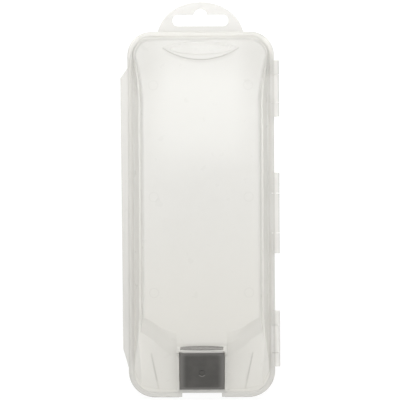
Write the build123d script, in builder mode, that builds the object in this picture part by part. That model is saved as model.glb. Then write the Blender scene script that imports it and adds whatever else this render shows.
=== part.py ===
"""Paint brush storage case: two moulded halves, a snap latch and three hinge pins.

The closed case lies on its back. The base is below, the lid above, and +Z points
up through the lid. +Y runs along the case to its hang tab, and +X to its hinges.
The origin is at the middle of the flat underside, and all sizes are in millimetres.
"""

import os

from build123d import *

# Outline of the closed case
case_width = 102.4
case_length = 255.5
top_corner_radius = 16.5
bottom_corner_radius = 18.5

# Depths of the two halves
base_depth = 18.5
lid_depth = 17.2
parting_gap = 0.3
wall = 1.6

# Rims that meet at the parting line
base_rim_thickness = 2.0
lid_rim_thickness = 1.8
rim_width = 4.1
rim_bead_height = 1.1
rim_bead_width = 2.8
rim_bead_inset = 0.4
rim_bead_rounding = 0.5

# Base shell
base_wall_lean = 3.4
base_bottom_rounding = 3.0

# Lid dome, with a ledge along its walls
waist_lean = 6.6
corner_lean = 0.9
end_lean = 1.3
ledge_height = 9.7
ledge_foot_share = 0.56
ledge_top_share = 0.77
crown_radius = 620.0
panel_edge_rounding = 2.0
upper_flare_length = 47.8
upper_flare_bow = 0.9
lower_flare_length = 54.8
lower_flare_bow = 0.6

# Sloping end of the lid
ramp_crest_from_end = 38.55
ramp_foot_from_end = 5.35
ramp_shoulder_x = 33.0
ramp_side_rise = 13.0
ramp_foot_side_rise = 0.2

# Levels of the sloping end, from its foot to above its soft crest: the share of its
# height, the way the middle has drawn back from a straight slope, and the way that
# the shoulders lie behind the middle
ramp_levels = (
    (0.0, 0.0, 0.4),
    (0.6, 0.0, 14.2),
    (0.73, 0.0, 14.7),
    (0.84, 0.5, 14.7),
    (0.92, 1.9, 13.7),
    (0.97, 4.1, 11.6),
    (1.01, 8.9, 7.0),
)

# Two facets at each corner of the sloping end, with a fine groove along the inner edge
crease_width = 0.7
facet_top_x = 35.7
facet_top_from_end = 32.25
facet_top_height = 7.3
facet_foot_x = 30.1
facet_corner_x = 42.5
facet_corner_from_end = 8.25
facet_side_x = 46.6
facet_side_from_end = 17.25
facet_crown_x = 41.3
facet_crown_from_end = 37.75
facet_crown_height = 8.7
facet_overrun = 15.0

# Lens-shaped badge area at the top of the lid, left bare
badge_half_width = 27.0
badge_tip_from_top = 11.75
badge_low_from_top = 20.25
badge_high_from_top = 7.15
badge_height = 0.6
badge_edge_slope = 0.5
badge_pad_width = 43.0
badge_pad_depth = 7.6
badge_pad_from_top = 12.75
badge_pad_height = 0.5
badge_pad_edge_slope = 0.4
badge_groove_width = 0.9
badge_groove_depth = 0.4

# Ejector marks inside the lid
ejector_radius = 3.2
ejector_depth = 0.5
ejector_column_x = 33.0
ejector_from_top = 37.75
ejector_middle_y = 12.3
ejector_from_bottom = 73.45

# Locating tongue under the lid
tongue_thickness = 1.2
tongue_drop = 2.0
tongue_clearance = 0.35

# Hang tab
tab_half_width = 30.2
tab_height = 20.9
tab_thickness = 1.6
slot_width = 39.2
slot_height = 8.3
slot_corner_radius = 3.6
slot_centre_from_rim = 8.1
slot_peak_radius = 5.0
slot_peak_height = 8.2
tab_rib_width = 2.4
tab_rib_height = 0.6
tab_rib_length = 52.0
tab_rib_from_rim = 1.9

# Thumb lip on the lid's long left side
lip_from_top = 25.25
lip_from_bottom = 21.05
lip_width_top = 5.0
lip_width_bottom = 3.8
lip_top_slant = 7.0
lip_bottom_slant = 13.0
lip_turn_down = 2.6
lip_turn_thickness = 1.1

# Three hinges on the right side
hinge_overhang = 3.6
knuckle_radius = 3.4
hinge_pin_radius = 1.2
hinge_pin_fit = 0.06
knuckle_gap = 0.3
knuckle_share = 0.25
pin_end_recess = 1.0
upper_hinge_from_top = 39.75
upper_hinge_length = 39.2
middle_hinge_y = 0.8
middle_hinge_length = 56.3
lower_hinge_from_bottom = 40.75
lower_hinge_length = 39.0

# Snap latch
latch_axis_from_end = 33.55
latch_axis_below_plate = 3.0
latch_plate_width = 31.5
latch_plate_thickness = 2.4
latch_plate_from_axis = 2.25
latch_plate_from_end = 5.35
latch_plate_proud = 1.2
latch_side_gap = 0.35
latch_under_gap = 1.4
latch_edge_rounding = 0.7
latch_rod_radius = 1.15
latch_rod_fit = 0.08
latch_barrel_radius = 2.65
latch_barrel_width = 30.0
latch_barrel_gap = 0.35
latch_mouth_width = 1.6
latch_hood_past_axis = 0.9
latch_hood_from_crest = 8.0
latch_hood_thickness = 0.8
latch_hood_proud = 0.1
latch_leg_width = 25.0
latch_leg_from_end = 7.15
latch_leg_thickness = 1.8
latch_leg_drop = 3.5
latch_toe_reach = 0.5
latch_toe_height = 1.4
latch_frame_proud = 1.3
gate_mark_from_axis = 16.1
gate_mark_radius = 2.2
gate_mark_groove = 0.4
gate_mark_depth = 0.35

# Latch pocket in the end of the base
keeper_clearance = 0.3
keeper_reach = 0.7
keeper_height = 1.6
pocket_side_gap = 1.4
pocket_depth = 4.9
pocket_from_end = 4.9
strip_thickness = 2.1
finger_notch_width = 27.7

# Worked out from the sizes above
half_width = case_width / 2
half_length = case_length / 2
top_end = half_length
low_end = -half_length
parting_z = base_depth
lid_z = base_depth + parting_gap
lid_rim_z = lid_z + lid_rim_thickness
lid_top_z = lid_z + lid_depth
base_rim_z = base_depth - base_rim_thickness
hinge_x = half_width + hinge_overhang - knuckle_radius
hinge_z = parting_z + parting_gap / 2
foot_half_width = half_width - rim_width
foot_half_length = half_length - rim_width
foot_top_radius = top_corner_radius - rim_width
foot_bottom_radius = bottom_corner_radius - rim_width
upper_flare_y = top_end - upper_flare_length
lower_flare_y = low_end + lower_flare_length
ramp_crest = low_end + ramp_crest_from_end
ramp_foot = low_end + ramp_foot_from_end
ramp_height = lid_top_z - lid_rim_z
ramp_slope = ramp_height / (ramp_crest - ramp_foot)
latch_axis_y = low_end + latch_axis_from_end
latch_hood_y = latch_axis_y - latch_hood_past_axis
latch_hood_top_y = ramp_crest + latch_hood_from_crest
latch_plate_top_y = latch_axis_y - latch_plate_from_axis
latch_plate_end_y = low_end + latch_plate_from_end
latch_leg_outer_y = low_end + latch_leg_from_end
gate_mark_y = latch_axis_y - gate_mark_from_axis
pocket_outer_y = low_end + pocket_from_end
lip_top_y = top_end - lip_from_top
lip_bottom_y = low_end + lip_from_bottom
badge_tip_y = top_end - badge_tip_from_top
ejector_rows_y = (
    top_end - ejector_from_top,
    ejector_middle_y,
    low_end + ejector_from_bottom,
)
over = 5.0
far = 150.0


def ramp_z(y):
    """Height of the sloping end along the middle of the lid."""
    return lid_rim_z + (y - ramp_foot) * ramp_slope


def plate_top_z(y):
    """Height of the latch plate's upper face."""
    return ramp_z(y) + latch_plate_proud


def plate_under_z(y):
    """Height of the latch plate's lower face."""
    return plate_top_z(y) - latch_plate_thickness


latch_axis_z = plate_top_z(latch_axis_y) - latch_axis_below_plate
facet_top = Vector(-facet_top_x, low_end + facet_top_from_end, lid_rim_z + facet_top_height)
facet_foot = Vector(-facet_foot_x, ramp_foot, lid_rim_z)
facet_corner = Vector(-facet_corner_x, low_end + facet_corner_from_end, lid_rim_z)
facet_side = Vector(-facet_side_x, low_end + facet_side_from_end, lid_rim_z)
facet_crown = Vector(
    -facet_crown_x, low_end + facet_crown_from_end, lid_rim_z + facet_crown_height
)
hinges = (
    ("upper", top_end - upper_hinge_from_top, upper_hinge_length),
    ("middle", middle_hinge_y, middle_hinge_length),
    ("lower", low_end + lower_hinge_from_bottom, lower_hinge_length),
)


def rounded_outline(z, inset, across=half_width, along=half_length, lean=0.0):
    """Face at height z with the case's rounded corners, drawn in by inset."""
    x = across - inset - lean
    y = along - inset - lean
    shrink = half_width - across + inset
    with BuildSketch(Plane.XY.offset(z)) as outline:
        Rectangle(2 * x, 2 * y)
        fillet(outline.vertices().group_by(Axis.Y)[0], bottom_corner_radius - shrink)
        fillet(outline.vertices().group_by(Axis.Y)[-1], top_corner_radius - shrink)
    return outline.sketch


def lid_foot(z, inset):
    """Straight-sided outline where the dome stands on the lid's rim."""
    return rounded_outline(z, inset, foot_half_width, foot_half_length)


def lid_panel(z, inset, share):
    """Waisted outline of the lid, with that share of the lean up to its panel."""
    waist_x = foot_half_width - waist_lean * share
    corner_x = foot_half_width - corner_lean * share
    end_y = foot_half_length - end_lean * share
    low_radius = foot_bottom_radius
    high_radius = foot_top_radius
    high = (corner_x, end_y - high_radius)
    low = (corner_x, low_radius - end_y)
    high_bow = (
        (corner_x + waist_x) / 2 - upper_flare_bow * share,
        (upper_flare_y + end_y - high_radius) / 2,
    )
    low_bow = (
        (corner_x + waist_x) / 2 - lower_flare_bow * share,
        (lower_flare_y + low_radius - end_y) / 2,
    )
    with BuildSketch(Plane.XY.offset(z)) as panel:
        with BuildLine():
            Line((0, end_y), (corner_x - high_radius, end_y))
            RadiusArc((corner_x - high_radius, end_y), high, high_radius)
            ThreePointArc(high, high_bow, (waist_x, upper_flare_y))
            Line((waist_x, upper_flare_y), (waist_x, lower_flare_y))
            ThreePointArc((waist_x, lower_flare_y), low_bow, low)
            RadiusArc(low, (corner_x - low_radius, -end_y), low_radius)
            Line((corner_x - low_radius, -end_y), (0, -end_y))
            mirror(about=Plane.YZ)
        make_face()
        if inset:
            offset(amount=-inset, kind=Kind.INTERSECTION)
    return panel.sketch


def ramp_section(z, crest_y, rise, side_rise):
    """Face at height z that covers what the sloping end takes off the lid."""
    shoulder_y = crest_y + rise
    side_y = shoulder_y + side_rise
    with BuildSketch(Plane.XY.offset(z)) as section:
        with BuildLine():
            Line((-half_width, side_y), (-ramp_shoulder_x, shoulder_y))
            ThreePointArc(
                (-ramp_shoulder_x, shoulder_y), (0, crest_y), (ramp_shoulder_x, shoulder_y)
            )
            Line((ramp_shoulder_x, shoulder_y), (half_width, side_y))
            Line((half_width, side_y), (half_width, -far))
            Line((half_width, -far), (-half_width, -far))
            Line((-half_width, -far), (-half_width, side_y))
        make_face()
    return section.sketch


def ramp_sections(inset):
    """Faces of the sloping end's cut from below the lid to above it."""
    foot_share, foot_back, foot_rise = ramp_levels[0]
    top_share, top_back, top_rise = ramp_levels[-1]
    below = ramp_foot - over / ramp_slope + inset
    above = ramp_foot + (top_share * ramp_height + over) / ramp_slope + top_back + inset
    sections = [ramp_section(lid_z - over, below, foot_rise, ramp_foot_side_rise)]
    for share, back, rise in ramp_levels:
        height = share * ramp_height
        crest_y = ramp_foot + height / ramp_slope + back + inset
        side_rise = ramp_side_rise if share else ramp_foot_side_rise
        sections.append(ramp_section(lid_rim_z + height - inset, crest_y, rise, side_rise))
    sections.append(ramp_section(lid_top_z + over, above, top_rise, ramp_side_rise))
    return sections


def facet_cut(high, outer, inner, inset):
    """Block with three points on its lower face, outside the line from high to inner."""
    up = (outer - high).cross(inner - high).normalized()
    plane = Plane((high + inner) / 2 - up * inset, x_dir=inner - high, z_dir=up)
    length = (inner - high).length + facet_overrun
    block = Box(length, half_width, 2 * lid_depth, mode=Mode.PRIVATE)
    return plane * Pos(0, -half_width / 2, lid_depth) * block


def lid_form(inset):
    """Solid dome of the lid, drawn in by inset on every side."""
    top_z = lid_top_z - inset
    ledge_z = lid_z + ledge_height - inset
    with BuildPart() as ramp:
        for section in ramp_sections(inset):
            add(section)
        loft(ruled=True)
    facet_cuts = [
        facet_cut(facet_top, facet_corner, facet_foot, inset),
        facet_cut(facet_crown, facet_side, facet_corner, inset),
    ]
    with BuildPart() as form:
        add(lid_foot(lid_z, inset))
        add(lid_panel(ledge_z, inset, ledge_foot_share))
        loft(ruled=True)
        add(lid_panel(ledge_z, inset, ledge_top_share))
        add(lid_panel(lid_top_z, inset, 1.0))
        loft(ruled=True)
        with Locations((0, 0, top_z - crown_radius)):
            Cylinder(crown_radius, 2 * far, rotation=(90, 0, 0), mode=Mode.INTERSECT)
        panel = form.faces().filter_by(GeomType.CYLINDER).sort_by(SortBy.AREA)[-1]
        fillet(panel.edges(), panel_edge_rounding - inset)
        add(ramp.part, mode=Mode.SUBTRACT)
        for cut in facet_cuts:
            add(cut, mode=Mode.SUBTRACT)
            add(cut.mirror(Plane.YZ), mode=Mode.SUBTRACT)
    return form.part


def knuckle_spans(centre_y, length):
    """Lengths of one hinge along Y: two base knuckles with the lid's between them."""
    low = centre_y - length / 2
    high = centre_y + length / 2
    share = length * knuckle_share
    base_spans = ((low, low + share), (high - share, high))
    lid_span = (low + share + knuckle_gap, high - share - knuckle_gap)
    return base_spans, lid_span


def rod_along_y(radius, low, high):
    """Round bar on the hinge axis from low to high."""
    middle = Vector(hinge_x, (low + high) / 2, hinge_z)
    return Pos(middle) * Rot(90, 0, 0) * Cylinder(radius, high - low, mode=Mode.PRIVATE)


base_knuckles = []
lid_knuckles = []
for _, centre_y, length in hinges:
    pair, single = knuckle_spans(centre_y, length)
    base_knuckles += pair
    lid_knuckles.append(single)
knuckle_clear_radius = knuckle_radius + knuckle_gap
bore_radius = hinge_pin_radius + hinge_pin_fit

# Latch places that both halves share
plate_half = latch_plate_width / 2
recess_half = plate_half + latch_side_gap
frame_half = recess_half + wall
leg_half = latch_leg_width / 2
pocket_half = leg_half + pocket_side_gap
leg_inner_y = latch_leg_outer_y + latch_leg_thickness
toe_y = leg_inner_y + latch_toe_reach
keeper_y = toe_y + keeper_clearance
pocket_inner_y = keeper_y + keeper_reach
pocket_floor_z = base_depth - pocket_depth
leg_foot_z = base_depth - latch_leg_drop
strip_outer_y = pocket_outer_y - strip_thickness
block_inner_y = pocket_inner_y + wall
notch_y = block_inner_y - wall / 2
latch_clear_radius = latch_barrel_radius + latch_barrel_gap
recess_top_y = latch_axis_y + latch_clear_radius

# Base shell: tray, rim with hang tab, latch pocket and the outer hinge knuckles
block_middle_y = (block_inner_y + strip_outer_y) / 2
block_depth = pocket_depth + wall
latch_block = Pos(0, block_middle_y, base_depth - block_depth / 2) * Box(
    2 * (pocket_half + wall), block_inner_y - strip_outer_y, block_depth
)
with BuildPart() as base:
    add(rounded_outline(0, 0, foot_half_width, foot_half_length, base_wall_lean))
    add(rounded_outline(base_depth, 0, foot_half_width, foot_half_length))
    loft(ruled=True)
    fillet(base.faces().sort_by(Axis.Z)[0].edges(), base_bottom_rounding)
    add(rounded_outline(base_rim_z, 0))
    extrude(amount=base_rim_thickness)
    add(latch_block)
    with BuildSketch(Plane.XY.offset(base_depth - tab_thickness)) as tab:
        with Locations((0, half_length - top_corner_radius / 4)):
            Ellipse(tab_half_width, tab_height + top_corner_radius / 4)
            with Locations((0, -half_width)):
                Rectangle(case_width, case_width, mode=Mode.SUBTRACT)
        with Locations((0, half_length + slot_centre_from_rim)):
            RectangleRounded(slot_width, slot_height, slot_corner_radius, mode=Mode.SUBTRACT)
            with Locations((0, slot_peak_height - slot_peak_radius)):
                Circle(slot_peak_radius, mode=Mode.SUBTRACT)
    extrude(amount=tab_thickness)
    with BuildSketch(Plane.XY.offset(base_depth)) as tab_rib:
        with Locations((0, half_length + tab_rib_from_rim)):
            SlotOverall(tab_rib_length, tab_rib_width)
    extrude(amount=tab_rib_height)
    for low, high in base_knuckles:
        add(rod_along_y(knuckle_radius, low, high))
    cavity = loft(
        [
            rounded_outline(wall, wall, foot_half_width, foot_half_length, base_wall_lean),
            rounded_outline(base_depth, wall, foot_half_width, foot_half_length),
            rounded_outline(base_depth + over, wall, foot_half_width, foot_half_length),
        ],
        ruled=True,
        mode=Mode.PRIVATE,
    )
    add(cavity - latch_block, mode=Mode.SUBTRACT)
    with BuildSketch(Plane.YZ) as pocket:
        with BuildLine():
            Polyline(
                (pocket_outer_y, base_depth + over),
                (pocket_outer_y, pocket_floor_z),
                (pocket_inner_y, pocket_floor_z),
                (pocket_inner_y, base_depth - keeper_height - keeper_reach),
                (keeper_y, base_depth - keeper_height),
                (keeper_y, base_depth + over),
                close=True,
            )
        make_face()
    extrude(amount=pocket_half, both=True, mode=Mode.SUBTRACT)
    with Locations((0, strip_outer_y - over, base_depth)):
        Box(finger_notch_width, 2 * over, 2 * base_depth, mode=Mode.SUBTRACT)
    for low, high in lid_knuckles:
        add(
            rod_along_y(knuckle_clear_radius, low - knuckle_gap, high + knuckle_gap),
            mode=Mode.SUBTRACT,
        )
    add(rod_along_y(bore_radius, -half_length, half_length), mode=Mode.SUBTRACT)
base.part.label = "base_shell"

# Lid shell: dome, rim with bead, thumb lip, latch recess and the middle hinge knuckles
lip_corners = (
    (-half_width + rim_width / 2, lip_top_y),
    (-half_width, lip_top_y),
    (-half_width - lip_width_top, lip_top_y - lip_top_slant),
    (-half_width - lip_width_bottom, lip_bottom_y + lip_bottom_slant),
    (-half_width, lip_bottom_y),
    (-half_width + rim_width / 2, lip_bottom_y),
)
tongue_inset = wall + tongue_clearance + base_wall_lean * tongue_drop / base_depth
recess_floor_y = latch_axis_y - latch_rod_radius
recess_floor_z = plate_under_z(notch_y) - latch_under_gap
hood_top_z = lid_top_z + latch_hood_proud
lid_outer = lid_form(0.0)
lid_inner = lid_form(wall)
with BuildPart() as frame_block:
    with BuildSketch(Plane.YZ) as frame_profile:
        with BuildLine():
            Polyline(
                (recess_top_y + wall, latch_axis_z),
                (recess_top_y + wall, lid_top_z - 2 * wall),
                (latch_hood_top_y, lid_top_z - wall),
                (latch_hood_top_y, hood_top_z),
                (latch_hood_y, latch_axis_z + latch_clear_radius + latch_hood_thickness),
                (latch_hood_y, ramp_z(latch_hood_y) + latch_frame_proud),
                (-half_length + wall, ramp_z(-half_length + wall) + latch_frame_proud),
                (-half_length + wall, lid_z),
                (notch_y + wall, lid_z),
                (notch_y + wall, recess_floor_z - wall),
                (latch_axis_y, latch_axis_z - latch_barrel_radius - latch_barrel_gap - wall),
                close=True,
            )
        make_face()
        with Locations((latch_axis_y, latch_axis_z)):
            Circle(latch_clear_radius + wall)
    extrude(amount=frame_half, both=True)
    with Locations((0, latch_axis_y, hood_top_z + case_width / 2)):
        Box(case_width, case_width, case_width, mode=Mode.SUBTRACT)
with BuildPart() as badge:
    with BuildSketch(Plane.XY.offset(lid_top_z - wall / 2)):
        with BuildLine():
            ThreePointArc(
                (-badge_half_width, badge_tip_y),
                (0, top_end - badge_low_from_top),
                (badge_half_width, badge_tip_y),
            )
            ThreePointArc(
                (badge_half_width, badge_tip_y),
                (0, top_end - badge_high_from_top),
                (-badge_half_width, badge_tip_y),
            )
        make_face()
    extrude(amount=wall / 2 + badge_height)
    chamfer(badge.faces().sort_by(Axis.Z)[-1].edges(), badge_edge_slope)
    with BuildSketch(Plane.XY.offset(lid_top_z + badge_height)):
        with Locations((0, top_end - badge_pad_from_top)):
            Ellipse(badge_pad_width / 2, badge_pad_depth / 2)
    extrude(amount=badge_pad_height)
    chamfer(badge.faces().sort_by(Axis.Z)[-1].edges(), badge_pad_edge_slope)
crease_plane = Plane(
    (facet_top + facet_foot) / 2,
    x_dir=facet_foot - facet_top,
    z_dir=(facet_foot - facet_top).cross(Vector(1, 0, 0)),
)
crease = crease_plane * Box((facet_foot - facet_top).length, crease_width, 2 * crease_width)
with BuildPart() as lid:
    add(lid_outer)
    add(rounded_outline(lid_z, 0))
    extrude(amount=lid_rim_thickness)
    with BuildSketch(Plane.XY.offset(lid_rim_z)):
        add(rounded_outline(0, rim_bead_inset))
        add(rounded_outline(0, rim_bead_inset + rim_bead_width), mode=Mode.SUBTRACT)
    extrude(amount=rim_bead_height)
    bead_faces = lid.faces().filter_by_position(
        Axis.Z, lid_rim_z + rim_bead_height / 2, lid_rim_z + 3 * rim_bead_height / 2
    )
    fillet(bead_faces.filter_by(Plane.XY).edges(), rim_bead_rounding)
    with BuildSketch(Plane.XY.offset(lid_z)):
        with BuildLine():
            Polyline(*lip_corners, close=True)
        make_face()
    extrude(amount=lid_rim_thickness)
    with BuildSketch(Plane.XY.offset(lid_z - lip_turn_down)):
        with BuildLine():
            Polyline(*lip_corners, close=True)
        make_face()
        with BuildLine():
            Polyline(*[(x + lip_turn_thickness, y) for x, y in lip_corners], close=True)
        make_face(mode=Mode.SUBTRACT)
        with Locations((-half_width + case_width / 2 - knuckle_gap - wall / 2, 0)):
            Rectangle(case_width, case_length, mode=Mode.SUBTRACT)
    extrude(amount=lip_turn_down)
    for low, high in lid_knuckles:
        add(rod_along_y(knuckle_radius, low, high))
    with BuildSketch(Plane.XY.offset(lid_z - tongue_drop)):
        add(lid_foot(0, tongue_inset))
        add(lid_foot(0, tongue_inset + tongue_thickness), mode=Mode.SUBTRACT)
        with Locations((0, -half_length)):
            Rectangle(2 * (frame_half + wall), 4 * rim_width, mode=Mode.SUBTRACT)
    extrude(amount=tongue_drop + lid_rim_thickness / 2)
    add(lid_inner, mode=Mode.SUBTRACT)
    add(frame_block.part)
    with BuildSketch(Plane.YZ):
        with BuildLine():
            Polyline(
                (latch_hood_y, latch_axis_z),
                (latch_hood_y, lid_top_z + over),
                (-half_length - over, lid_top_z + over),
                (-half_length - over, 0),
                (notch_y, 0),
                (notch_y, recess_floor_z),
                (recess_floor_y, plate_under_z(recess_floor_y) - latch_under_gap),
                (latch_axis_y, latch_axis_z),
                close=True,
            )
        make_face()
        with Locations((latch_axis_y, latch_axis_z)):
            Circle(latch_clear_radius)
    extrude(amount=recess_half, both=True, mode=Mode.SUBTRACT)
    with BuildSketch(Plane.YZ):
        with Locations((latch_axis_y, latch_axis_z)):
            Circle(latch_rod_radius)
    extrude(amount=recess_half + wall / 2, both=True)
    for row_y in ejector_rows_y:
        inner_z = lid_top_z - wall - ejector_column_x**2 / (2 * crown_radius)
        with Locations(
            (-ejector_column_x, row_y, inner_z), (ejector_column_x, row_y, inner_z)
        ):
            Cylinder(ejector_radius, 2 * ejector_depth)
    add(badge.part)
    with BuildSketch(Plane.XY.offset(lid_top_z - badge_groove_depth)):
        with BuildLine():
            ThreePointArc(
                (-badge_half_width, badge_tip_y),
                (0, top_end - badge_low_from_top),
                (badge_half_width, badge_tip_y),
            )
            ThreePointArc(
                (badge_half_width, badge_tip_y),
                (0, top_end - badge_low_from_top - badge_groove_width),
                (-badge_half_width, badge_tip_y),
            )
        make_face()
    extrude(amount=2 * badge_groove_depth, mode=Mode.SUBTRACT)
    add(crease, mode=Mode.SUBTRACT)
    add(crease.mirror(Plane.YZ), mode=Mode.SUBTRACT)
    for low, high in base_knuckles:
        add(
            rod_along_y(knuckle_clear_radius, low - knuckle_gap, high + knuckle_gap),
            mode=Mode.SUBTRACT,
        )
    add(rod_along_y(bore_radius, -half_length, half_length), mode=Mode.SUBTRACT)
lid.part.label = "lid_shell"

# Latch clip: plate, open barrel that snaps on the lid's rod, and a hooked leg
plate_up = Axis((0, 0, 0), (0, -ramp_slope, 1))
with BuildPart() as plate:
    with BuildSketch(Plane.YZ):
        with BuildLine():
            Polyline(
                (latch_plate_top_y, plate_top_z(latch_plate_top_y)),
                (latch_plate_end_y, plate_top_z(latch_plate_end_y)),
                (latch_plate_end_y, plate_under_z(latch_plate_end_y)),
                (latch_plate_top_y, plate_under_z(latch_plate_top_y)),
                close=True,
            )
        make_face()
    extrude(amount=plate_half, both=True)
    fillet(plate.faces().sort_by(plate_up)[-1].edges(), latch_edge_rounding)
with BuildPart() as clip:
    with BuildSketch(Plane.YZ):
        with Locations((latch_axis_y, latch_axis_z)):
            Circle(latch_barrel_radius)
    extrude(amount=latch_barrel_width / 2, both=True)
    fillet(clip.edges().filter_by(GeomType.CIRCLE), latch_edge_rounding)
    add(plate.part)
    with BuildSketch(Plane.YZ):
        with BuildLine():
            Polyline(
                (leg_inner_y, plate_top_z(leg_inner_y) - latch_plate_thickness / 2),
                (latch_leg_outer_y, plate_top_z(leg_inner_y) - latch_plate_thickness),
                (latch_leg_outer_y, leg_foot_z),
                (leg_inner_y, leg_foot_z),
                (toe_y, leg_foot_z + latch_toe_reach),
                (toe_y, leg_foot_z + latch_toe_height - latch_toe_reach),
                (leg_inner_y, leg_foot_z + latch_toe_height),
                close=True,
            )
        make_face()
    extrude(amount=leg_half, both=True)
    with BuildSketch(Plane.YZ):
        with Locations((latch_axis_y, latch_axis_z)):
            Circle(latch_rod_radius + latch_rod_fit)
            with Locations((0, latch_barrel_radius)):
                Rectangle(latch_mouth_width, 2 * latch_barrel_radius)
    extrude(amount=case_width, both=True, mode=Mode.SUBTRACT)
    gate_place = (0, gate_mark_y, plate_top_z(gate_mark_y))
    with BuildSketch(Plane(gate_place, z_dir=plate_up.direction)):
        Circle(gate_mark_radius)
        Circle(gate_mark_radius - gate_mark_groove, mode=Mode.SUBTRACT)
    extrude(amount=-gate_mark_depth, mode=Mode.SUBTRACT)
clip.part.label = "latch_clip"

# Hinge pins, one through each set of knuckles
pins = []
for name, centre_y, length in hinges:
    with BuildPart() as pin:
        reach = length / 2 - pin_end_recess
        add(rod_along_y(hinge_pin_radius, centre_y - reach, centre_y + reach))
        chamfer(pin.edges().filter_by(GeomType.CIRCLE), hinge_pin_radius / 4)
    pin.part.label = "hinge_pin_" + name
    pins.append(pin)

os.makedirs("parts", exist_ok=True)
for piece in (base, lid, clip, *pins):
    export_step(piece.part, "parts/" + piece.part.label + ".step")
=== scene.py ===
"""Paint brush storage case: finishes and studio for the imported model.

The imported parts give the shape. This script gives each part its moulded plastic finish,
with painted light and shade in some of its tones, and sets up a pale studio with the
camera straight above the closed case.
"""

import math

import bpy
from bpy.props import FloatProperty, FloatVectorProperty, PointerProperty
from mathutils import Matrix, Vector

bl_info = {
    "name": "Paint Brush Case",
    "version": (1, 0, 0),
    "blender": (4, 5, 0),
    "location": "3D View > Sidebar > Brush Case",
    "description": "Finishes a translucent brush case and sets up its studio",
    "category": "Object",
}

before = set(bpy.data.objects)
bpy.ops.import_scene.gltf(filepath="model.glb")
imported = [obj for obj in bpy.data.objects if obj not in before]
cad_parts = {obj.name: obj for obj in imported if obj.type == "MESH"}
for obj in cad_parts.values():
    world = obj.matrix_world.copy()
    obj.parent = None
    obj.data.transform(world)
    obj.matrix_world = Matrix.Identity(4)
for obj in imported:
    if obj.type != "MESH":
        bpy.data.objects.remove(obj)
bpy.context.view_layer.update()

# Places on the case, in metres. A pair holds the two ends of a soft change.
SOFT_EDGE = 0.0004
HALF_WIDTH = 0.0512
HALF_LENGTH = 0.12775
RIM_WIDTH = 0.0041
RIM_HEIGHT = 0.0188
RIM_UNDER = (0.0155, 0.0165)
RIM_FACE = 0.0206
RIM_HIGH = 0.0222
RIM_TOP_END = (0.1, 0.12375)
RIM_PALE_END = (0.114, 0.12475)
FOOT_RADIUS = 0.0134
FOOT_EDGE = (-0.0002, 0.0003)
# Bounds of the painted light on the walls.
BASE_WALLS = (-0.0075, -0.0045)
SIDE_WALLS = (0.041, 0.046)
PANEL_EDGE = (0.0325, 0.0345)
# Bounds of the painted shade in the panel's upper corners.
CORNER_COLUMNS = (0.018, 0.042)
CORNER_ROWS = (0.07, 0.112)
# Bounds of the painted highlight in the panel's upper half.
UPPER_START = (0.02, 0.06)
UPPER_STOP = (0.09, 0.112)
UPPER_SIDES = (0.02, 0.041)
LATCH_END = (-0.1, 0.03)
# Bounds of the painted shade along the creases and the groove under the badge.
CREASE_TOP = (0.0357, -0.0955)
CREASE_FOOT = (0.0301, -0.1224)
CREASE_FADE = 0.002
CREASE_EDGE = (0.0002, 0.0008)
GROOVE_LEVEL = (0.0212, 0.0222)
SMILE_RADIUS = 0.0476
SMILE_CENTRE = 0.15463
SMILE_ENDS = (0.021, 0.027)
SMILE_EDGE = (0.0004, 0.0024)
SMILE_TOP = (0.116, 0.117)
HOOD_LOW = -0.0968
HOOD_TOP = (-0.0914, -0.0908)
HOOD_BAR = (-0.0947, -0.0941)
HOOD_ENDS = (0.0147, 0.0155)
HOOD_LEVEL = (0.03, 0.0305)
# Bounds of the painted highlights on the clip's plate and gate mark.
PLATE_SIDES = (0.01025, 0.01535)
PLATE_LOW_EDGE = (-0.122, -0.12)
PLATE_HIGH_EDGE = (-0.09925, -0.09685)
PLATE_LEVEL = (0.0165, 0.0222)
GATE_ROW = -0.1106
GATE_RADIUS = 0.0023
GATE_LOWER_HALF = (-0.0016, -0.001)
STRIP_START = (-0.09655, -0.09625)
STRIP_STOP = (-0.0953, -0.0951)
STRIP_LEVEL = (0.0325, 0.033)
EJECTOR_COLUMN = 0.033
EJECTOR_ROWS = (0.09, 0.0123, -0.0543)
EJECTOR_RADIUS = 0.0032
EJECTOR_LEVEL = (0.03, 0.0325)
LINE_EDGE = (0.0001, 0.0006)

# Bend of the hood's clear bar: metres along for each squared metre across
HOOD_UPPER_BOW = 3.5
HOOD_LOWER_BOW = 1.4

# Shares of a finish. The end wall and pale rim shares are of painted light; the corner,
# crease and smile shares are of painted shade.
END_WALL_SHARE = 0.35
PALE_RIM_SHARE = 0.6
CORNER_SHADE_SHARE = 0.55
CREASE_SHADE_SHARE = 0.7
SMILE_SHADE_SHARE = 0.45
EJECTOR_SHARE = 0.3
HOOD_STRIP_SHARE = 0.15
PLATE_HIGH_SHARE = 0.6
ROUGHNESS_SPREAD = 0.1

# Patterns of the plastics: sizes and heights in metres
CLOUD_SIZE = 0.012
CLOUD_RANGE = (0.3, 0.75)
GRAIN_SIZE = 0.0006
GRAIN_HEIGHT = 0.00006
GRAIN_STRENGTH = 0.25
SWELL_SIZE = 0.016
SWELL_HEIGHT = 0.0012
SWELL_STRENGTH = 0.12
FLOW_SIZE = 0.009
FLOW_RANGE = (0.35, 0.8)
CLIP_GRAIN_SIZE = 0.0005
CLIP_GRAIN_HEIGHT = 0.00008
CLIP_GRAIN_STRENGTH = 0.4
SHELL_IOR = 1.49
CLIP_IOR = 1.5

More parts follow.
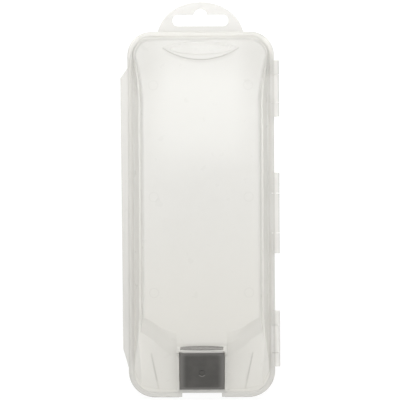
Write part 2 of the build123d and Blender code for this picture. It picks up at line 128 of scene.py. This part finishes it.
# Studio, in metres and degrees: a lamp's name, place, size and power setting
LAMPS = (
    ("soft_lamp", (0.0, 0.22, 0.42), (0.5, 0.3), "lamp_power"),
    ("fill_lamp", (0.0, -0.6, 0.9), (0.8, 0.5), "fill_power"),
    ("left_lamp", (-0.6, 0.0, 0.45), (0.8, 0.4), "side_power"),
    ("right_lamp", (0.6, 0.0, 0.45), (0.8, 0.4), "side_power"),
)
WHITE = (1.0, 1.0, 1.0, 1.0)
FLOOR_LEVEL = -0.0004
FLOOR_PATCHES = (0.92, 0.92, 0.92, 1.0)
FLOOR_PATCH_SIZE = 0.3
FLOOR_STRENGTH = 1.12
CAMERA_PLACE = (-0.00084, 0.01015)
CAMERA_ROLL = -0.27
CAMERA_REACH = 20.0

# Sockets of a Mix node that mixes colours
MIX_FACTOR, MIX_FIRST, MIX_SECOND = 0, 6, 7
MIX_RESULT = 2


# Shader maths


class Wire:
    """One socket in a material, with Python's operators for its maths."""

    def __init__(self, socket):
        self.socket = socket
        self.tree = socket.id_data

    def node(self, kind, settings=(), inputs=(), output=0):
        """Adds a node of that kind, fills it in, and gives back one of its outputs."""
        made = self.tree.nodes.new(kind)
        for name, value in dict(settings).items():
            setattr(made, name, value)
        for name, value in dict(inputs).items():
            if isinstance(value, Wire):
                self.tree.links.new(value.socket, made.inputs[name])
            else:
                made.inputs[name].default_value = value
        return Wire(made.outputs[output])

    def maths(self, operation, first, second=0.0):
        """Adds one Math node."""
        return self.node(
            "ShaderNodeMath", {"operation": operation}, {0: first, 1: second}
        )

    def __add__(self, other):
        return self.maths("ADD", self, other)

    def __radd__(self, other):
        return self.maths("ADD", other, self)

    def __sub__(self, other):
        return self.maths("SUBTRACT", self, other)

    def __rsub__(self, other):
        return self.maths("SUBTRACT", other, self)

    def __mul__(self, other):
        return self.maths("MULTIPLY", self, other)

    def __rmul__(self, other):
        return self.maths("MULTIPLY", other, self)

    def __abs__(self):
        return self.maths("ABSOLUTE", self)

    def root(self):
        """Square root."""
        return self.maths("SQRT", self)

    def least(self, other):
        """The smaller of two values."""
        return self.maths("MINIMUM", self, other)

    def most(self, other):
        """The larger of two values."""
        return self.maths("MAXIMUM", self, other)

    def rise(self, low, high):
        """0 below low, 1 above high, and smooth between them."""
        return self.node(
            "ShaderNodeMapRange",
            {"interpolation_type": "SMOOTHSTEP"},
            {"Value": self, "From Min": low, "From Max": high},
        )

    def blend(self, first, second):
        """The first colour where this value is 0 and the second where it is 1."""
        return self.node(
            "ShaderNodeMix",
            {"data_type": "RGBA"},
            {MIX_FACTOR: self, MIX_FIRST: first, MIX_SECOND: second},
            output=MIX_RESULT,
        )

    def axis(self, index):
        """One coordinate of this vector."""
        return self.node("ShaderNodeSeparateXYZ", (), {0: self}, output=index)

    def noise(self, size, detail=2.0, roughness=0.5):
        """Noise whose features are about size metres across."""
        return self.node(
            "ShaderNodeTexNoise",
            {"noise_dimensions": "3D"},
            {
                "Vector": self,
                "Scale": 1 / size,
                "Detail": detail,
                "Roughness": roughness,
            },
        )

    def bump(self, height, strength, normal=None):
        """Surface normal with this height, in metres, added to it."""
        inputs = {"Height": self, "Distance": height, "Strength": strength}
        if normal is not None:
            inputs["Normal"] = normal
        return self.node("ShaderNodeBump", (), inputs)


def rgba(colour):
    """A colour with full alpha."""
    return (*colour, 1.0)


def new_material(name):
    """Empty node material, the place on the part as a wire, and its output node."""
    material = bpy.data.materials.new(name)
    material.use_nodes = True
    tree = material.node_tree
    tree.nodes.clear()
    output = tree.nodes.new("ShaderNodeOutputMaterial")
    place = Wire(tree.nodes.new("ShaderNodeTexCoord").outputs["Object"])
    return material, place, output


def finish_material(output, shader):
    """Joins the finished shader to the material's output."""
    shader.tree.links.new(shader.socket, output.inputs["Surface"])


def give_material(node, material):
    """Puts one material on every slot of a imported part."""
    for slot in node.material_slots:
        slot.material = material


# Settings


class BRUSHCASE_PG_shells(bpy.types.PropertyGroup):
    """Natural plastic of the base, the lid and the pins."""

    colour: FloatVectorProperty(
        name="Colour",
        description="Natural plastic where it is thin and clean",
        subtype="COLOR",
        min=0.0,
        max=1.0,
        default=(0.797, 0.792, 0.77),
    )
    cloud_colour: FloatVectorProperty(
        name="Cloud colour",
        description="Slightly deeper tone in the cloudy patches of the moulding",
        subtype="COLOR",
        min=0.0,
        max=1.0,
        default=(0.774, 0.768, 0.745),
    )
    # Painted highlight: a paler patch in the upper half of the panel.
    painted_highlight_colour: FloatVectorProperty(
        name="Upper colour",
        description="Paler tone of the panel in its upper half",
        subtype="COLOR",
        min=0.0,
        max=1.0,
        default=(0.85, 0.846, 0.824),
    )
    # Painted light on the side walls, the base's walls, the top rim and partly the
    # sloping end.
    painted_light_wall_colour: FloatVectorProperty(
        name="Wall colour",
        description="Paler tone of the thin side walls, and partly of the sloping end",
        subtype="COLOR",
        min=0.0,
        max=1.0,
        default=(0.97, 0.961, 0.925),
    )
    latch_end_colour: FloatVectorProperty(
        name="Latch end colour",
        description="Warmer tone of the panel towards the latch",
        subtype="COLOR",
        min=0.0,
        max=1.0,
        default=(0.825, 0.811, 0.768),
    )
    # Partly the deeper tone of the thick plastic, partly painted shade on the rims and
    # lip away from the light.
    rim_and_shade_colour: FloatVectorProperty(
        name="Rim colour",
        description="Deeper tone where the rims, the thumb lip and the tab are thick",
        subtype="COLOR",
        min=0.0,
        max=1.0,
        default=(0.722, 0.713, 0.686),
    )
    # Painted shade in the grooves, the creases and the panel's upper corners; along the
    # ejector marks it is their own tone.
    mark_and_shade_colour: FloatVectorProperty(
        name="Mark colour",
        description="Tone in the grooves and along the round ejector marks",
        subtype="COLOR",
        min=0.0,
        max=1.0,
        default=(0.61, 0.604, 0.58),
    )
    openness: FloatProperty(
        name="Openness",
        description="Share of light that passes each surface of a wall unbent",
        subtype="FACTOR",
        min=0.0,
        max=1.0,
        default=0.33,
    )
    hood_openness: FloatProperty(
        name="Hood openness",
        description="Share that is added where the lid is thin above the clip's barrel",
        subtype="FACTOR",
        min=0.0,
        max=1.0,
        default=0.48,
    )
    glow: FloatProperty(
        name="Glow",
        description="Share of the plastic that passes light on, scattered",
        subtype="FACTOR",
        min=0.0,
        max=1.0,
        default=0.35,
    )
    roughness: FloatProperty(
        name="Roughness",
        description="Roughness of the satin surface",
        subtype="FACTOR",
        min=0.0,
        max=1.0,
        default=0.27,
    )


class BRUSHCASE_PG_clip(bpy.types.PropertyGroup):
    """Dark plastic of the latch clip."""

    colour: FloatVectorProperty(
        name="Colour",
        description="Dark grey of the latch clip",
        subtype="COLOR",
        min=0.0,
        max=1.0,
        default=(0.036, 0.034, 0.03),
    )
    flow_colour: FloatVectorProperty(
        name="Flow colour",
        description="Lighter grey where the plastic flowed away from its gate",
        subtype="COLOR",
        min=0.0,
        max=1.0,
        default=(0.052, 0.049, 0.044),
    )
    # Painted highlight along the plate's edges and under its gate mark.
    edge_highlight_colour: FloatVectorProperty(
        name="Edge colour",
        description="Lighter grey along the rubbed edges of the plate",
        subtype="COLOR",
        min=0.0,
        max=1.0,
        default=(0.12, 0.116, 0.108),
    )
    barrel_colour: FloatVectorProperty(
        name="Barrel colour",
        description="Pale strip of the barrel that shows between the hood and the plate",
        subtype="COLOR",
        min=0.0,
        max=1.0,
        default=(0.55, 0.54, 0.515),
    )
    roughness: FloatProperty(
        name="Roughness",
        description="Roughness of the clip's fine grained surface",
        subtype="FACTOR",
        min=0.0,
        max=1.0,
        default=0.48,
    )


class BRUSHCASE_PG_studio(bpy.types.PropertyGroup):
    """Floor, lights and camera."""

    floor_colour: FloatVectorProperty(
        name="Floor colour",
        description="Plain white floor",
        subtype="COLOR",
        min=0.0,
        max=1.0,
        default=(0.9, 0.9, 0.9),
    )
    floor_size: FloatProperty(
        name="Floor size",
        description="Length of each side of the floor",
        unit="LENGTH",
        default=6.0,
    )
    floor_white: FloatProperty(
        name="Floor white",
        description="Share of plain white in the floor where it is seen",
        subtype="FACTOR",
        min=0.0,
        max=1.0,
        default=0.7,
    )
    surround: FloatProperty(
        name="Surround",
        description="Strength of the even light from all round",
        min=0.0,
        default=0.37,
    )
    lamp_power: FloatProperty(
        name="Lamp power",
        description="Power of the soft lamp above the end with the tab",
        subtype="POWER",
        min=0.0,
        default=1.8,
    )
    fill_power: FloatProperty(
        name="Fill power",
        description="Power of the wide lamp beyond the latch",
        subtype="POWER",
        min=0.0,
        default=2.4,
    )
    side_power: FloatProperty(
        name="Side power",
        description="Power of each of the two lamps beside the case",
        subtype="POWER",
        min=0.0,
        default=1.3,
    )
    camera_height: FloatProperty(
        name="Camera height",
        description="Height of the camera above the floor",
        unit="LENGTH",
        default=2.2,
    )
    view_width: FloatProperty(
        name="View width",
        description="Width that the picture takes in at the rim of the case",
        unit="LENGTH",
        default=0.28,
    )


# Finishes


def past(distance, edge):
    """0 before the edge and 1 past it, with a soft edge."""
    return distance.rise(edge, edge + SOFT_EDGE)


def line_along(distance, edge=LINE_EDGE):
    """1 where the distance from a line is near 0, with a soft edge."""
    return 1 - distance.rise(*edge)


def length_of(across, along):
    """Length of a step that goes so far across and so far along the case."""
    return (across * across + along * along).root()


def beyond_foot(place):
    """Distance outside the rounded outline of the dome's foot, and less than 0 inside."""
    past_x = abs(place.axis(0)) - (HALF_WIDTH - RIM_WIDTH - FOOT_RADIUS)
    past_y = abs(place.axis(1)) - (HALF_LENGTH - RIM_WIDTH - FOOT_RADIUS)
    return length_of(past_x.most(0.0), past_y.most(0.0)) - FOOT_RADIUS


def thick_rims_and_shade(place):
    """1 on the thumb lip, the tab and the rims, and 0 at the rims' end beside the tab.
    Marks the thick plastic's deeper tone together with painted shade.
    """
    x, y, z = (place.axis(index) for index in range(3))
    level = z.rise(*RIM_UNDER) * (1 - past(z, RIM_HIGH))
    outside = beyond_foot(place).rise(*FOOT_EDGE)
    top_end = y.rise(*RIM_TOP_END) * (1 - past(y, HALF_LENGTH))
    return level * outside * (1 - past(x, HALF_WIDTH)) * (1 - top_end)


def painted_light_walls(place):
    """Painted light: 1 on the side walls and the base's walls, and less on the sloping
    end and the rims' end at the tab.
    """
    x, y, z = (place.axis(index) for index in range(3))
    side = abs(x).rise(*SIDE_WALLS) * (1 - END_WALL_SHARE) + END_WALL_SHARE
    dome = past(z, RIM_FACE) * side
    pale_rim = y.rise(*RIM_PALE_END) * (1 - past(y, HALF_LENGTH)) * PALE_RIM_SHARE
    base = beyond_foot(place).rise(*BASE_WALLS) * (1 - z.rise(*RIM_UNDER))
    return dome.most(pale_rim).most(base) * (1 - z.rise(*PANEL_EDGE))


def painted_shade_corners(place):
    """Painted shade that rises towards the panel's two corners beside the badge."""
    x, y = place.axis(0), place.axis(1)
    return abs(x).rise(*CORNER_COLUMNS) * y.rise(*CORNER_ROWS) * CORNER_SHADE_SHARE


def painted_highlight_patch(place):
    """Painted highlight: 1 in the upper half of the panel, below the badge, with soft
    edges.
    """
    x, y = place.axis(0), place.axis(1)
    along = y.rise(*UPPER_START) * (1 - y.rise(*UPPER_STOP))
    return along * (1 - abs(x).rise(*UPPER_SIDES))


def thin_hood(place):
    """1 on the hood's bowed bar above the clip's barrel, less on the strip below it."""
    x, y, z = (place.axis(index) for index in range(3))
    off_middle = x * x
    below_top = 1 - (y + off_middle * HOOD_UPPER_BOW).rise(*HOOD_TOP)
    bar = (y - off_middle * HOOD_LOWER_BOW).rise(*HOOD_BAR)
    along = bar * (1 - HOOD_STRIP_SHARE) + HOOD_STRIP_SHARE
    across = 1 - abs(x).rise(*HOOD_ENDS)
    return along * past(y, HOOD_LOW) * below_top * across * z.rise(*HOOD_LEVEL)


def groove_shade_lines(place):
    """Painted shade: 1 along the two creases of the sloping end and the groove under the
    badge.
    """
    x, y, z = (place.axis(index) for index in range(3))
    top, foot = Vector(CREASE_TOP), Vector(CREASE_FOOT)
    side = (top - foot).normalized().orthogonal()
    away = abs((abs(x) - foot.x) * side.x + (y - foot.y) * side.y)
    start = y.rise(foot.y, foot.y + CREASE_FADE)
    stop = 1 - y.rise(top.y - CREASE_FADE, top.y)
    creases = line_along(away, CREASE_EDGE) * start * stop * CREASE_SHADE_SHARE
    ring = abs(length_of(x, y - SMILE_CENTRE) - SMILE_RADIUS)
    ends = (1 - abs(x).rise(*SMILE_ENDS)) * (1 - y.rise(*SMILE_TOP))
    smile = line_along(ring, SMILE_EDGE) * ends * SMILE_SHADE_SHARE
    return (creases + smile) * z.rise(*GROOVE_LEVEL)


def ejector_edges(place):
    """1 along the edges of the six round marks inside the lid."""
    x, y, z = (place.axis(index) for index in range(3))
    off_y = abs(y - EJECTOR_ROWS[0])
    for row in EJECTOR_ROWS[1:]:
        off_y = off_y.least(abs(y - row))
    away = abs(length_of(abs(x) - EJECTOR_COLUMN, off_y) - EJECTOR_RADIUS)
    return line_along(away) * z.rise(*EJECTOR_LEVEL)


def natural_plastic(name, settings, openness):
    """Cloudy, satin natural plastic that lets light through, with painted light and shade
    in places.
    """
    material, place, output = new_material(name)
    cloud = place.noise(CLOUD_SIZE, detail=4.0, roughness=0.6).rise(*CLOUD_RANGE)
    grain = place.noise(GRAIN_SIZE)
    swell = place.noise(SWELL_SIZE, detail=1.0)
    normal = swell.bump(SWELL_HEIGHT, SWELL_STRENGTH)
    normal = grain.bump(GRAIN_HEIGHT, GRAIN_STRENGTH, normal)
    colour = cloud.blend(rgba(settings.colour), rgba(settings.cloud_colour))
    towards_latch = 1 - place.axis(1).rise(*LATCH_END)
    # Painted light on the upper panel and the walls, painted shade in the upper corners
    # and partly on the rims.
    for mask, tone in (
        (towards_latch, settings.latch_end_colour),
        (painted_highlight_patch(place), settings.painted_highlight_colour),
        (painted_shade_corners(place), settings.mark_and_shade_colour),
        (painted_light_walls(place), settings.painted_light_wall_colour),
        (thick_rims_and_shade(place), settings.rim_and_shade_colour),
    ):
        colour = mask.blend(colour, rgba(tone))
    # Painted shade in the grooves and creases, with the ejector rings in their own tone.
    marks = (ejector_edges(place) * EJECTOR_SHARE + groove_shade_lines(place)).least(1.0)
    colour = marks.blend(colour, rgba(settings.mark_and_shade_colour))
    body = place.node(
        "ShaderNodeBsdfPrincipled",
        (),
        {
            "Base Color": colour,
            "Roughness": settings.roughness + cloud * ROUGHNESS_SPREAD,
            "IOR": SHELL_IOR,
            "Normal": normal,
        },
    )
    glow = place.node(
        "ShaderNodeBsdfTranslucent", (), {"Color": rgba(settings.colour)}
    )
    milky = place.node(
        "ShaderNodeMixShader", (), {0: settings.glow, 1: body, 2: glow}
    )
    clear = place.node("ShaderNodeBsdfTransparent", (), {"Color": WHITE})
    share = thin_hood(place) * settings.hood_openness + openness
    shader = place.node("ShaderNodeMixShader", (), {0: share, 1: milky, 2: clear})
    finish_material(output, shader)
    return material


def plate_edge_highlights(place):
    """Painted highlight: 1 along the edges of the clip's plate and the arc under its gate
    mark.
    """
    x, y, z = (place.axis(index) for index in range(3))
    across = abs(x).rise(*PLATE_SIDES)
    low = 1 - y.rise(*PLATE_LOW_EDGE)
    high = y.rise(*PLATE_HIGH_EDGE) * PLATE_HIGH_SHARE
    off_gate = y - GATE_ROW
    arc = line_along(abs(length_of(x, off_gate) - GATE_RADIUS))
    arc = arc * (1 - off_gate.rise(*GATE_LOWER_HALF))
    return (across + low + high + arc).least(1.0) * z.rise(*PLATE_LEVEL)


def pale_strip(place):
    """1 on the strip of the barrel that shows above the plate."""
    y, z = place.axis(1), place.axis(2)
    return y.rise(*STRIP_START) * (1 - y.rise(*STRIP_STOP)) * z.rise(*STRIP_LEVEL)


def clip_plastic(name, settings):
    """Dark grey plastic with a fine spark-eroded grain and painted highlights on its
    plate's edges.
    """
    material, place, output = new_material(name)
    flow = place.noise(FLOW_SIZE, detail=3.0).rise(*FLOW_RANGE)
    grain = place.noise(CLIP_GRAIN_SIZE, roughness=0.6)
    normal = grain.bump(CLIP_GRAIN_HEIGHT, CLIP_GRAIN_STRENGTH)
    colour = flow.blend(rgba(settings.colour), rgba(settings.flow_colour))
    colour = plate_edge_highlights(place).blend(colour, rgba(settings.edge_highlight_colour))
    colour = pale_strip(place).blend(colour, rgba(settings.barrel_colour))
    body = place.node(
        "ShaderNodeBsdfPrincipled",
        (),
        {
            "Base Color": colour,
            "Roughness": settings.roughness + grain * ROUGHNESS_SPREAD,
            "IOR": CLIP_IOR,
            "Normal": normal,
        },
    )
    finish_material(output, body)
    return material


class BRUSHCASE_OT_finish_shells(bpy.types.Operator):
    """Give the base and the lid their translucent natural plastic"""

    bl_idname = "brushcase.finish_shells"
    bl_label = "Finish shells"

    def execute(self, context):
        settings = context.scene.brushcase_shells
        plastic = natural_plastic("natural_plastic_moulding", settings, settings.openness)
        for name in ("base_shell", "lid_shell"):
            give_material(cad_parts[name], plastic)
        return {"FINISHED"}


class BRUSHCASE_OT_finish_pins(bpy.types.Operator):
    """Give the three hinge pins their natural plastic"""

    bl_idname = "brushcase.finish_pins"
    bl_label = "Finish hinge pins"

    def execute(self, context):
        settings = context.scene.brushcase_shells
        plastic = natural_plastic("natural_plastic_rod", settings, settings.openness / 2)
        for name in ("hinge_pin_upper", "hinge_pin_middle", "hinge_pin_lower"):
            give_material(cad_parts[name], plastic)
        return {"FINISHED"}


class BRUSHCASE_OT_finish_clip(bpy.types.Operator):
    """Give the latch clip its dark grained plastic"""

    bl_idname = "brushcase.finish_clip"
    bl_label = "Finish latch clip"

    def execute(self, context):
        plastic = clip_plastic("dark_clip_plastic", context.scene.brushcase_clip)
        give_material(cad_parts["latch_clip"], plastic)
        return {"FINISHED"}


# Studio


def seen_rays(place):
    """1 for rays that show the background: seen straight, mirrored or through glass."""
    path = place.tree.nodes.new("ShaderNodeLightPath")
    camera, glossy, through = (
        Wire(path.outputs[name])
        for name in ("Is Camera Ray", "Is Glossy Ray", "Is Transmission Ray")
    )
    return camera.most(glossy.most(through))


def add_floor(settings):
    """Adds the plain floor just under the case, white where it is seen."""
    half = settings.floor_size / 2
    corners = [(-half, -half), (half, -half), (half, half), (-half, half)]
    mesh = bpy.data.meshes.new("studio_floor")
    mesh.from_pydata([(x, y, FLOOR_LEVEL) for x, y in corners], [], [(0, 1, 2, 3)])
    floor = bpy.data.objects.new("studio_floor", mesh)
    bpy.context.scene.collection.objects.link(floor)
    material, place, output = new_material("studio_white")
    patches = place.noise(FLOOR_PATCH_SIZE)
    paint = place.node(
        "ShaderNodeBsdfDiffuse",
        (),
        {"Color": patches.blend(rgba(settings.floor_colour), FLOOR_PATCHES)},
    )
    white = place.node(
        "ShaderNodeEmission", (), {"Color": WHITE, "Strength": FLOOR_STRENGTH}
    )
    share = seen_rays(place) * settings.floor_white
    shader = place.node("ShaderNodeMixShader", (), {0: share, 1: paint, 2: white})
    finish_material(output, shader)
    mesh.materials.append(material)


def add_surround(settings):
    """Adds even light from all round, which is seen as white."""
    world = bpy.data.worlds.new("studio_surround")
    bpy.context.scene.world = world
    world.use_nodes = True
    tree = world.node_tree
    tree.nodes.clear()
    seen = seen_rays(Wire(tree.nodes.new("ShaderNodeTexCoord").outputs["Generated"]))
    strength = seen * (1 - settings.surround) + settings.surround
    sky = seen.node("ShaderNodeBackground", (), {"Color": WHITE, "Strength": strength})
    output = tree.nodes.new("ShaderNodeOutputWorld")
    tree.links.new(sky.socket, output.inputs["Surface"])


def add_lamp(name, place, size, power):
    """Adds a rectangular lamp that shines on the middle of the case."""
    data = bpy.data.lights.new(name, "AREA")
    data.shape = "RECTANGLE"
    data.size, data.size_y = size
    data.energy = power
    lamp = bpy.data.objects.new(name, data)
    bpy.context.scene.collection.objects.link(lamp)
    lamp.location = place
    lamp.rotation_mode = "QUATERNION"
    lamp.rotation_quaternion = (-Vector(place)).to_track_quat("-Z", "Y")


def add_camera(settings):
    """Adds the camera, which looks straight down on the case."""
    data = bpy.data.cameras.new("studio_camera")
    reach = settings.camera_height - RIM_HEIGHT
    data.lens = data.sensor_width * reach / settings.view_width
    data.clip_end = CAMERA_REACH
    camera = bpy.data.objects.new("studio_camera", data)
    bpy.context.scene.collection.objects.link(camera)
    camera.location = (*CAMERA_PLACE, settings.camera_height)
    camera.rotation_euler = (0.0, 0.0, math.radians(CAMERA_ROLL))
    bpy.context.scene.camera = camera


class BRUSHCASE_OT_set_studio(bpy.types.Operator):
    """Add the floor, the even light from all round, the lamps and the camera"""

    bl_idname = "brushcase.set_studio"
    bl_label = "Set up studio"

    def execute(self, context):
        settings = context.scene.brushcase_studio
        add_floor(settings)
        add_surround(settings)
        for name, place, size, power in LAMPS:
            add_lamp(name, place, size, getattr(settings, power))
        add_camera(settings)
        context.scene.view_settings.view_transform = "Standard"
        return {"FINISHED"}


class BRUSHCASE_PT_panel(bpy.types.Panel):
    """Lists what can be made for the case"""

    bl_idname = "BRUSHCASE_PT_panel"
    bl_label = "Brush Case"
    bl_space_type = "VIEW_3D"
    bl_region_type = "UI"
    bl_category = "Brush Case"

    def draw(self, context):
        for operator in OPERATORS:
            self.layout.operator(operator.bl_idname)
        for group_name in GROUPS:
            group = getattr(context.scene, group_name)
            box = self.layout.box()
            for name in group.bl_rna.properties.keys():
                if name not in ("rna_type", "name"):
                    box.prop(group, name)


GROUPS = {
    "brushcase_shells": BRUSHCASE_PG_shells,
    "brushcase_clip": BRUSHCASE_PG_clip,
    "brushcase_studio": BRUSHCASE_PG_studio,
}
OPERATORS = (
    BRUSHCASE_OT_finish_shells,
    BRUSHCASE_OT_finish_pins,
    BRUSHCASE_OT_finish_clip,
    BRUSHCASE_OT_set_studio,
)


def register():
    """Registers the settings, the operators and the panel."""
    for name, group in GROUPS.items():
        bpy.utils.register_class(group)
        setattr(bpy.types.Scene, name, PointerProperty(type=group))
    for operator in OPERATORS:
        bpy.utils.register_class(operator)
    bpy.utils.register_class(BRUSHCASE_PT_panel)


def unregister():
    """Takes them all away again."""
    bpy.utils.unregister_class(BRUSHCASE_PT_panel)
    for operator in reversed(OPERATORS):
        bpy.utils.unregister_class(operator)
    for name, group in GROUPS.items():
        delattr(bpy.types.Scene, name)
        bpy.utils.unregister_class(group)


def main():
    """Makes everything in order."""
    register()
    bpy.ops.brushcase.finish_shells()
    bpy.ops.brushcase.finish_pins()
    bpy.ops.brushcase.finish_clip()
    bpy.ops.brushcase.set_studio()


if __name__ == "__main__":
    main()
